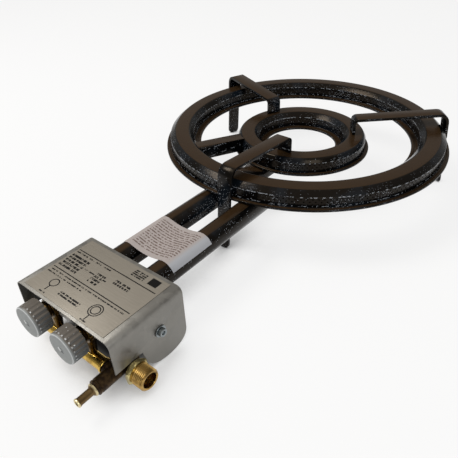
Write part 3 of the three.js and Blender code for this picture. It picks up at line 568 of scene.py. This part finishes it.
def spun(stations, axis, centre, steps=56, closed=False):
    """Points and faces of (radius, along) stations turned about an axis; a radius may vary by angle."""
    place = aimed(axis, centre)
    points = []
    for radius, along in stations:
        for k in range(steps):
            angle = full_turn * k / steps
            reach = radius(angle) if callable(radius) else radius
            points.append(place @ Vector((reach * math.cos(angle), reach * math.sin(angle), along)))
    faces = []
    rows = len(stations)
    for row in range(rows if closed else rows - 1):
        low, high = row * steps, (row + 1) % rows * steps
        for k in range(steps):
            after = (k + 1) % steps
            faces.append((low + k, low + after, high + after, high + k))
    return points, faces


def stepped(steps, radius, start):
    """Stations from a table in mm: how far in from a radius, and how far on from a start."""
    return [(radius - inset * mm, start + on * mm) for inset, on in steps]


def collar(low, high, bore, outside, edge):
    """Stations of a bored ring from low to high, with both outer edges cut back."""
    return [(bore, low), (outside - edge, low), (outside, low + edge), (outside, high - edge),
            (outside - edge, high), (bore, high)]


def hexagon(across, limit=None):
    """Radius of a hexagon by angle, cut back to a limit where one is given."""
    def radius(angle):
        within = (angle % (full_turn / 6)) - full_turn / 12
        reach = across / 2 / math.cos(within)
        return min(reach, limit) if limit else reach
    return radius


def rounded(path, radii, steps=4, closed=False):
    """A path of (u, v) points with its corners rounded, but for the ends of an open one."""
    turned = []
    count = len(path)
    for k, corner in enumerate(path):
        corner = Vector(corner)
        radius = radii[k] if isinstance(radii, list) else radii
        if not closed and k in (0, count - 1):
            turned.append(corner)
            continue
        inward = corner - Vector(path[k - 1])
        outward = Vector(path[(k + 1) % count]) - corner
        turn = inward.angle_signed(outward, 0)
        setback = min(radius * math.tan(abs(turn) / 2), inward.length / 2, outward.length / 2)
        start = corner - inward.normalized() * setback
        end = corner + outward.normalized() * setback
        for step in range(steps + 1):
            share = step / steps
            turned.append(start * (1 - share) ** 2 + corner * 2 * share * (1 - share) + end * share ** 2)
    return turned


def offset(path, distance):
    """The path moved sideways, to the left of its way."""
    moved = []
    last = len(path) - 1
    for k, point in enumerate(path):
        before, after = path[max(k - 1, 0)], path[min(k + 1, last)]
        if k in (0, last):
            way = (after - before).normalized()
            moved.append(point + distance * Vector((-way.y, way.x)))
            continue
        first = (point - before).normalized()
        second = (after - point).normalized()
        middle = (first + second).normalized()
        moved.append(point + Vector((-middle.y, middle.x)) * distance / max(middle.dot(first), 0.5))
    return moved


# Rings: lips run from the rims to the walls, and shoulders from the walls to the flat top
ring_metal = 0.9 * mm            # thickness
port_width = 1.9 * mm
port_sides = 8
port_rows = 3
rings = {
    "outer_ring": {
        "width": 47.1 * mm, "lip_out": 6 * mm, "lip_in": 9.3 * mm,
        "shoulder_out": 7.3 * mm, "shoulder_in": 6.3 * mm, "steps": 360, "pan_steps": 144,
    },
    "inner_ring": {
        "width": 45 * mm, "lip_out": 5.4 * mm, "lip_in": 9.6 * mm,
        "shoulder_out": 3.4 * mm, "shoulder_in": 7.2 * mm, "steps": 180, "pan_steps": 96,
    },
}


def ring_frame(ring):
    """The middle of the ring's flat top, and its radius over the pan's rim."""
    low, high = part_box(f"{ring}_pan")
    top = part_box(f"{ring}_top")[1].z
    return Vector(((low.x + high.x) / 2, (low.y + high.y) / 2, top)), (high.x - low.x) / 2


def ported_skins(skins, bands, steps, centre):
    """Turned skins, outside and inside, with a port at every other step of each chosen band."""
    points, faces = [], []

    def at(r, z, k):
        angle = full_turn * k / steps
        points.append(centre + Vector((r * math.cos(angle), r * math.sin(angle), z)))
        return len(points) - 1

    def field(grid, row, k):
        after = (k + 1) % steps
        return grid[row][k], grid[row][after], grid[row + 1][after], grid[row + 1][k]

    def port(corners, lower, upper, k):
        """A port's edge in one field, with two faces from each corner to it."""
        middle_r, middle_z = (lower[0] + upper[0]) / 2, (lower[1] + upper[1]) / 2
        slope = Vector((upper[0] - lower[0], upper[1] - lower[1])).normalized()
        step_width = middle_r * full_turn / steps
        first_corner = -3 * full_turn / 8
        hole = []
        for side in range(port_sides):
            angle = full_turn * (side + 0.5) / port_sides + first_corner
            across = port_width / 2 * math.cos(angle)
            up = port_width / 2 * math.sin(angle)
            hole.append(at(middle_r + slope.x * up, middle_z + slope.y * up, k + 0.5 + across / step_width))
        for c, corner in enumerate(corners):
            near, far, following = hole[2 * c], hole[2 * c + 1], hole[(2 * c + 2) % port_sides]
            faces.append((corner, far, near))
            faces.append((corner, corners[(c + 1) % len(corners)], following, far))
        return hole

    grids = [[[at(r, z, k) for k in range(steps)] for r, z in skin] for skin in skins]
    last = len(skins[0]) - 1
    for row in range(last):
        for k in range(steps):
            fields = [field(grid, row, k) for grid in grids]
            if row not in bands or (k + bands[row]) % 2:
                faces += fields
                continue
            outside, inside = (port(corners, skin[row], skin[row + 1], k)
                               for corners, skin in zip(fields, skins))
            for side in range(port_sides):
                after = (side + 1) % port_sides
                faces.append((outside[side], outside[after], inside[after], inside[side]))
    outside, inside = grids
    for row in (0, last):
        for k in range(steps):
            after = (k + 1) % steps
            faces.append((outside[row][k], outside[row][after], inside[row][after], inside[row][k]))
    return points, faces


def ring_channel(ring):
    """The pressed channel: flange, ported wall, shoulder, flat top and down again."""
    size = rings[ring]
    centre, radius = ring_frame(ring)
    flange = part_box(f"{ring}_top")[0].z - centre.z + ring_metal
    rim_in = radius - size["width"]
    wall_out, wall_in = radius - size["lip_out"], rim_in + size["lip_in"]
    flange_inset, foot_height, foot_round = 1.2 * mm, 2 * mm, 1.4 * mm
    band_foot, band_top = flange + 2.6 * mm, -shoulder_drop - 1.2 * mm
    levels = [band_foot + (band_top - band_foot) * k / port_rows for k in range(port_rows + 1)]
    crown_start, crown_round = band_top + 0.3 * mm, 5 * mm
    inner_foot = rounded(
        [(rim_in + flange_inset, flange), (wall_in, flange), (wall_in, flange + foot_height)], foot_round)
    crown = rounded([
        (wall_in, crown_start), (wall_in, -shoulder_drop), (wall_in + size["shoulder_in"], 0),
        (wall_out - size["shoulder_out"], 0), (wall_out, -shoulder_drop), (wall_out, crown_start),
    ], crown_round, 5)
    outer_foot = rounded(
        [(wall_out, flange + foot_height), (wall_out, flange), (radius - flange_inset, flange)], foot_round)
    outside = [*inner_foot, *(Vector((wall_in, level)) for level in levels), *crown,
               *(Vector((wall_out, level)) for level in reversed(levels)), *outer_foot]
    inside = offset(outside, -ring_metal)
    bands = {}
    for first in (len(inner_foot), len(inner_foot) + len(levels) + len(crown)):
        bands.update({first + row: row % 2 for row in range(port_rows)})
    shape = ported_skins((outside, inside), bands, size["steps"], centre)
    piece(f"{ring}_channel", f"{ring}_top", shape, enamel)


def ring_pan(ring):
    """The flat pan with both rims folded back over the channel's flanges."""
    size = rings[ring]
    centre, radius = ring_frame(ring)
    low, high = (corner.z - centre.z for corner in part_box(f"{ring}_pan"))
    rim_in = radius - size["width"]
    lap, fold, lip_round, inner_round = 3.6 * mm, 1.4 * mm, 0.3 * mm, 0.4 * mm
    floor, under_lap = low + ring_metal, high - ring_metal
    outer_wall, inner_wall = radius - ring_metal, rim_in + ring_metal
    profile = [
        (rim_in, low), (radius, low), (radius, high), (radius - lap, high), (radius - lap, under_lap),
        (outer_wall, under_lap), (outer_wall, floor), (inner_wall, floor), (inner_wall, under_lap),
        (rim_in + lap, under_lap), (rim_in + lap, high), (rim_in, high),
    ]
    radii = [fold] * 3 + [lip_round] * 2 + [inner_round] * 4 + [lip_round] * 2 + [fold]
    stations = rounded(profile, radii, closed=True)
    piece(f"{ring}_crimped_pan", f"{ring}_pan",
          spun(stations, "z", centre, size["pan_steps"], closed=True), enamel)


for ring in rings:
    ring_channel(ring)
for ring in rings:
    ring_pan(ring)


# Bars, duct and tubes
for node in ("pan_support_front", "pan_support_left", "pan_support_right"):
    dressed(node, enamel, bevel=0.8 * mm)
dressed("crossover_duct", enamel, bevel=0.9 * mm)
for node in ("outer_mixing_tube", "inner_mixing_tube"):
    dressed(node, enamel, bevel=0.25 * mm)


# Valve box and taps
dressed("valve_box_cover", galvanised, bevel=0.22 * mm)
dressed("bare_rating_plate", foil, bevel=0.08 * mm)
dressed("box_bracket", galvanised, bevel=0.3 * mm)
for side in ("left", "right"):
    dressed(f"{side}_tube_cap", zinc, bevel=0.2 * mm)
    dressed(f"{side}_injector", shaded_brass, bevel=0.15 * mm)
    dressed(f"{side}_tap_body", shaded_brass, bevel=0.3 * mm)
    dressed(f"{side}_gland_nut", shaded_brass, bevel=0.3 * mm)
    dressed(f"{side}_tap_stem", shaded_brass, bevel=0.15 * mm, body=f"{side}_spindle")
    # The plug is hidden in its tap body, so its solid stays and only takes the brass
    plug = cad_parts[f"{side}_tap_plug"].data
    plug.materials.clear()
    plug.materials.append(brass.material)


def box_screw(side, outward):
    """A socket screw on its washer. Outward is 1 towards +x and -1 towards -x."""
    low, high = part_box(f"{side}_box_screw")
    washer_low, washer_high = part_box(f"{side}_box_washer")
    middle = middle_of(f"{side}_box_screw")
    centre = Vector((0, middle.y, middle.z))
    tip, head, washer_face = low.x, high.x, washer_high.x
    if outward < 0:
        tip, head, washer_face = high.x, low.x, washer_low.x
    seat_gap, seat_edge, tip_edge, round_off = 0.3 * mm, 0.15 * mm, 0.4 * mm, 0.7 * mm
    seat = washer_face + outward * seat_gap
    radius, shank = (high.z - low.z) / 2, 2 * mm
    socket, socket_depth, mouth, mouth_depth = hexagon(4 * mm), 1.8 * mm, 2.7 * mm, 0.3 * mm
    stations = [
        (0, tip), (shank - tip_edge, tip), (shank, tip + outward * tip_edge), (shank, seat),
        (radius - seat_edge, seat), (radius, seat + outward * seat_edge),
        (radius, head - outward * round_off), (radius - 0.2 * round_off, head - outward * 0.3 * round_off),
        (radius - 0.6 * round_off, head), (mouth, head), (socket, head - outward * mouth_depth),
        (socket, head - outward * socket_depth), (0, head - outward * socket_depth),
    ]
    steps = 48
    piece(f"{side}_socket_screw", f"{side}_box_screw", spun(stations, "x", centre, steps), zinc)
    bore, outside, edge = 2.3 * mm, (washer_high.z - washer_low.z) / 2, 0.15 * mm
    washer = collar(washer_low.x, washer_high.x, bore, outside, edge)
    piece(f"{side}_washer", f"{side}_box_washer", spun(washer, "x", centre, steps, closed=True), zinc)


box_screw("left", -1)
box_screw("right", 1)


# Knobs
def knob(side):
    """A hollow cap: plain front band, fluted skirt, hub with its bore and a raised centre mark."""
    low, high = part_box(f"{side}_knob")
    middle = middle_of(f"{side}_knob")
    mark_radius, mark_height, dish = 2.5 * mm, 0.4 * mm, 0.02 * mm
    face, rear = low.y + mark_height, high.y
    radius = (high.x - low.x) / 2
    flute_depth, wall, hub, bore = 0.9 * mm, 2.6 * mm, 6 * mm, 3.8 * mm
    inner = radius - flute_depth - wall
    floor, hub_end = face + 3 * mm, rear - 1.5 * mm
    edge, rear_edge, floor_edge, hub_edge = 0.3 * mm, 0.4 * mm, 0.6 * mm, 0.5 * mm

    def fluted(share, inset=0):
        def reach(angle):
            hollow = (0.5 - 0.5 * math.cos(knob_flutes * angle)) ** 0.8
            return radius - flute_depth * share * hollow - inset
        return reach

    mark = stepped([(0.5, 0), (0.1, 0.12)], mark_radius, low.y)
    rim = stepped([(7, 0.02), (1.7, 0.02), (1.2, 0.08), (0.5, 0.45), (0.1, 1)], radius, face)
    # Share of the flutes' depth, and mm behind the band
    run_in = [(0.1, 0.1), (0.6, 0.4), (0.92, 1.0), (1, 1.6)]
    stations = [
        (0, low.y + dish), *mark, (mark_radius, face), *rim, (rim[-1][0], face + knob_band),
        *((fluted(share), face + knob_band + back * mm) for share, back in run_in),
        (fluted(1), rear - rear_edge), (fluted(1, edge), rear),
        (inner + edge, rear), (inner, rear - edge), (inner, floor + floor_edge),
        (inner - floor_edge, floor), (hub + hub_edge, floor), (hub, floor + hub_edge),
        (hub, hub_end), (bore, hub_end), (bore, floor + edge), (0, floor + edge),
    ]
    centre = Vector((middle.x, 0, middle.z))
    steps_per_flute = 10
    piece(f"{side}_fluted_knob", f"{side}_knob",
          spun(stations, "y", centre, knob_flutes * steps_per_flute), plastic,
          body=f"{side}_spindle", sharp=40 * deg)


knob("left")
knob("right")


# Gas rail and inlet
def gas_rail():
    """The brass tube below the knobs, the collar at its right and the plug at its left."""
    middle = middle_of("gas_rail")
    bore, edge = 4.5 * mm, 0.3 * mm
    for name, node in (("rail_tube", "gas_rail"), ("rail_collar", "rail_union")):
        low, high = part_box(node)
        stations = collar(low.x, high.x, bore, (high.z - low.z) / 2, edge)
        piece(name, node, spun(stations, "x", Vector((0, middle.y, middle.z)), closed=True), brass)
    dressed("rail_end_plug", brass, bevel=0.3 * mm)


def inlet_elbow():
    """The brown inlet piece: a grooved barrel, and stubs to the rail and the nipple."""
    low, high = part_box("inlet_body")
    rail_low, rail_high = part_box("gas_rail")
    tail, rail, nipple = middle_of("hose_tail"), middle_of("gas_rail"), middle_of("inlet_nipple")
    radius, edge, neck = 7.3 * mm, 0.5 * mm, 6 * mm
    nose = stepped([(1.6, 0), (0.9, 0.5), (0, 1.2)], radius, low.y)
    groove = stepped([(0, 2.6), (0.5, 3), (0.5, 3.8), (0, 4.2)], radius, low.y)
    barrel = [(0, low.y), *nose, *groove, (radius, high.y - edge), (radius - edge, high.y), (0, high.y)]
    stub_radius = (rail_high.z - rail_low.z) / 2
    stub = [(0, low.x), (stub_radius - edge, low.x), (stub_radius, low.x + edge), (stub_radius, tail.x),
            (0, tail.x)]
    nipple_stub = [(0, tail.x), (neck, tail.x), (neck, high.x), (0, high.x)]
    united("inlet_elbow", "inlet_body", [
        spun(barrel, "y", Vector((tail.x, 0, rail.z))),
        spun(stub, "x", Vector((0, rail.y, rail.z))),
        spun(nipple_stub, "x", Vector((0, nipple.y, nipple.z))),
    ], old_brass)


def hose_tail():
    """The hose tail: a barb at the tip, a plain neck and a collar against the inlet piece."""
    low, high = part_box("hose_tail")
    seat_gap, edge, neck_start = 0.3 * mm, 0.3 * mm, 3 * mm
    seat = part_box("inlet_body")[0].y - seat_gap
    barb, neck, lip, spigot, bore = 4.3 * mm, 3.8 * mm, 6 * mm, 3.1 * mm, 2.2 * mm
    tip = stepped([(0.8, 0), (0.3, 0.2), (0, 0.9), (0, 1.2)], barb, low.y)
    foot = stepped([(0, -3.2), (-0.5, -2.7)], neck, seat)
    shoulder = stepped([(0.5, -1.6), (0, -1.1), (0, 0)], lip, seat)
    profile = [
        (bore + edge, low.y), *tip, (neck, low.y + neck_start), *foot, *shoulder,
        (spigot, seat), (spigot, high.y), (bore, high.y), (bore, low.y + edge),
    ]
    centre = Vector((middle_of("hose_tail").x, 0, middle_of("gas_rail").z))
    piece("smooth_hose_tail", "hose_tail", spun(profile, "y", centre, closed=True), dull_brass)


def threaded_nipple():
    """The inlet nipple: a hexagon with rounded corners, then the thread round its open bore."""
    low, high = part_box("inlet_nipple")
    middle = middle_of("inlet_nipple")
    start, hex_end, end = low.x, low.x + nipple_hexagon, high.x
    across, corner_share = 22 * mm, 1.09
    face, corner = across / 2, across / 2 * corner_share
    corner_edge, flat_edge, groove = 0.9 * mm, 1.7 * mm, 0.9 * mm
    thread_radius, thread_depth, pitch = 10.45 * mm, 1.0 * mm, 1.814 * mm
    thread_root = thread_radius - thread_depth
    thread_start, thread_end, thread_stations = hex_end + 1.2 * mm, end - 0.7 * mm, 60
    gas_way, bore, bore_depth, bore_floor = 3.2 * mm, 7.5 * mm, 15 * mm, 7.0 * mm
    mouth, floor_edge, end_edge = 0.4 * mm, 0.4 * mm, 1.2 * mm

    def thread(along, share):
        def reach(angle):
            phase = ((along - hex_end) / pitch + angle / full_turn) % 1
            return thread_radius - share * thread_depth * (1 - abs(2 * phase - 1))
        return reach

    stations = [
        (gas_way, start), (hexagon(across, face), start), (hexagon(across, corner), start + corner_edge),
        (hexagon(across), start + flat_edge), (hexagon(across), hex_end - flat_edge),
        (hexagon(across, corner), hex_end - corner_edge), (hexagon(across, face), hex_end),
        (thread_root, hex_end), (thread_root, hex_end + groove),
    ]
    for k in range(thread_stations + 1):
        along = thread_start + (thread_end - thread_start) * k / thread_stations
        stations.append((thread(along, 1 if k else 0.9), along))
    stations += [
        (thread_radius - end_edge, end), (bore + mouth, end), (bore, end - mouth),
        (bore, end - bore_depth + floor_edge), (bore_floor, end - bore_depth), (gas_way, end - bore_depth),
    ]
    centre = Vector((0, middle.y, middle.z))
    piece("threaded_nipple", "inlet_nipple", spun(stations, "x", centre, steps=72, closed=True), bronze,
          sharp=24 * deg)


gas_rail()
inlet_elbow()
hose_tail()
threaded_nipple()


# Instruction sheet: a loose paper that lies on both tubes and curls down at the right
def sheet_line():
    """The paper's middle line across the tubes, as (x, z) points from left to right."""
    low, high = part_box("outer_mixing_tube")
    tube_spacing, clearance = 49.8 * mm, 0.35 * mm
    right_x = (low.x + high.x) / 2
    left_x = right_x - tube_spacing
    z = (low.z + high.z) / 2
    lie = (high.z - low.z) / 2 + clearance
    left_start, left_end, right_start, right_end = 122, 72, 108, 22    # degrees round each tube
    left_steps, between_steps, right_steps = 10, 20, 16
    slack_share = 0.35

    def on_tube(x, degrees):
        return Vector((x + lie * math.cos(degrees * deg), z + lie * math.sin(degrees * deg)))

    def way(degrees):
        return Vector((math.sin(degrees * deg), -math.cos(degrees * deg)))

    left = [on_tube(left_x, left_start - (left_start - left_end) * k / left_steps)
            for k in range(left_steps + 1)]
    right = [on_tube(right_x, right_start - (right_start - right_end) * k / right_steps)
             for k in range(right_steps + 1)]
    pull = (right[0].x - left[-1].x) * slack_share
    a, b, c, d = left[-1], left[-1] + way(left_end) * pull, right[0] - way(right_start) * pull, right[0]
    between = []
    for k in range(1, between_steps):
        t = k / between_steps
        s = 1 - t
        between.append(s ** 3 * a + 3 * t * s ** 2 * b + 3 * t * t * s * c + t ** 3 * d)
    return [*left, *between, *right]


def instruction_sheet():
    """The paper, of an even thickness, along its line."""
    low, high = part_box("instruction_sheet")
    thickness, rows = 0.12 * mm, 24
    line = sheet_line()
    length = sum((b - a).length for a, b in zip(line, line[1:]))
    count = len(line)
    points = []
    for side in (offset(line, thickness / 2), offset(line, -thickness / 2)):
        for row in range(rows + 1):
            y = low.y + (high.y - low.y) * row / rows
            points += [Vector((p.x, y, p.y)) for p in side]

    def at(side, row, k):
        return (side * (rows + 1) + row) * count + k

    faces = []
    for row in range(rows):
        for k in range(count - 1):
            faces.append((at(0, row, k), at(0, row, k + 1), at(0, row + 1, k + 1), at(0, row + 1, k)))
            faces.append((at(1, row, k), at(1, row + 1, k), at(1, row + 1, k + 1), at(1, row, k + 1)))
        for k in (0, count - 1):
            faces.append((at(0, row, k), at(0, row + 1, k), at(1, row + 1, k), at(1, row, k)))
    for k in range(count - 1):
        for row in (0, rows):
            faces.append((at(0, row, k), at(0, row, k + 1), at(1, row, k + 1), at(1, row, k)))
    made = piece("paper_sheet", "instruction_sheet", (points, faces), paper, sharp=60 * deg)


instruction_sheet()


# Floor, world and lamps
def plain_floor():
    """A floor that is white where it's seen and keeps the object's shadow, with painted shade near the
    object and a painted shadow below the box.
    """
    reach = 3.0
    corners = [(-reach, -reach, 0), (reach, -reach, 0), (reach, reach, 0), (-reach, reach, 0)]
    mesh = bpy.data.meshes.new("floor")
    mesh.from_pydata(corners, [], [(0, 1, 2, 3)])
    floor = linked(mesh)
    material = bpy.data.materials.new("white_floor")
    material.use_nodes = True
    tree = material.node_tree
    tree.nodes.remove(tree.nodes["Principled BSDF"])

    def ray(kind):
        return add_node(tree, "ShaderNodeLightPath", {}, {}, kind)

    seen = (ray("Is Camera Ray") + ray("Is Glossy Ray") + ray("Is Transmission Ray")).math("MINIMUM", 1)
    # Painted shade: the glow fades where ambient occlusion finds parts close by
    near = add_node(tree, "ShaderNodeAmbientOcclusion", {}, {"Distance": 70 * mm}, "AO")
    open_sky = near.ramp(0.25, 0.8)
    place = add_node(tree, "ShaderNodeTexCoord", {}, {}, "Object")
    # Painted shadow: the floor below the valve box is made dark and loses its glow
    low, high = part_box("valve_box_cover")
    inset, fade = 4 * mm, 28 * mm
    brightness, box_shade = 0.8, 0.97
    box_shadow_mask = 1
    for axis in (0, 1):
        spot = add_node(tree, "ShaderNodeSeparateXYZ", {}, {"Vector": place}, axis)
        box_shadow_mask = spot.ramp(low[axis] + inset, low[axis] + fade) * box_shadow_mask
        box_shadow_mask = box_shadow_mask * (1 - spot.ramp(high[axis] - fade, high[axis] - inset))
    share = seen * brightness * open_sky * (1 - box_shade * box_shadow_mask)
    tone = mix_colours(tree, box_shadow_mask, (0.82, 0.82, 0.82), (0.02, 0.02, 0.02))
    plain = add_node(tree, "ShaderNodeBsdfDiffuse", {}, {"Color": tone})
    glow = add_node(tree, "ShaderNodeEmission", {}, {"Strength": 1})
    surface = add_node(tree, "ShaderNodeMixShader", {}, {0: share, 1: plain, 2: glow})
    tree.links.new(surface.socket, tree.nodes["Material Output"].inputs["Surface"])
    mesh.materials.append(material)


def studio_world():
    """A pale room: brighter overhead, white where the camera sees it."""
    world = bpy.data.worlds.new("studio")
    bpy.context.scene.world = world
    world.use_nodes = True
    tree = world.node_tree
    seen = add_node(tree, "ShaderNodeLightPath", {}, {}, "Is Camera Ray")
    place = add_node(tree, "ShaderNodeTexCoord", {}, {}, "Generated")
    height = add_node(tree, "ShaderNodeSeparateXYZ", {}, {"Vector": place}, "Z")
    strength = 0.32 + 0.4 * height.ramp(0.5, 0.95)
    strength = strength + seen * (1 - strength)
    tint = mix_colours(tree, seen, (1, 0.975, 0.94), (1, 1, 1))
    sky = tree.nodes["Background"]
    tree.links.new(tint.socket, sky.inputs["Color"])
    tree.links.new(strength.socket, sky.inputs["Strength"])


def lamp(name, place, aim, size, power, colour):
    """A round lamp, aimed at a point."""
    data = bpy.data.lights.new(name, "AREA")
    data.shape = "DISK"
    data.size = size
    data.energy = power
    data.color = colour
    made = bpy.data.objects.new(name, data)
    made.location = place
    made.rotation_euler = (Vector(aim) - Vector(place)).to_track_quat("-Z", "Y").to_euler()
    bpy.context.scene.collection.objects.link(made)


plain_floor()
studio_world()
lamp("key", place=(-0.9, -0.5, 1.5), aim=(0, 0, 0), size=0.8, power=15.5, colour=(1, 0.98, 0.95))
lamp("fill", place=(1.3, -0.9, 0.9), aim=(0, -0.1, 0), size=0.9, power=7, colour=(0.95, 0.98, 1))

bpy.context.scene.view_settings.view_transform = "Standard"
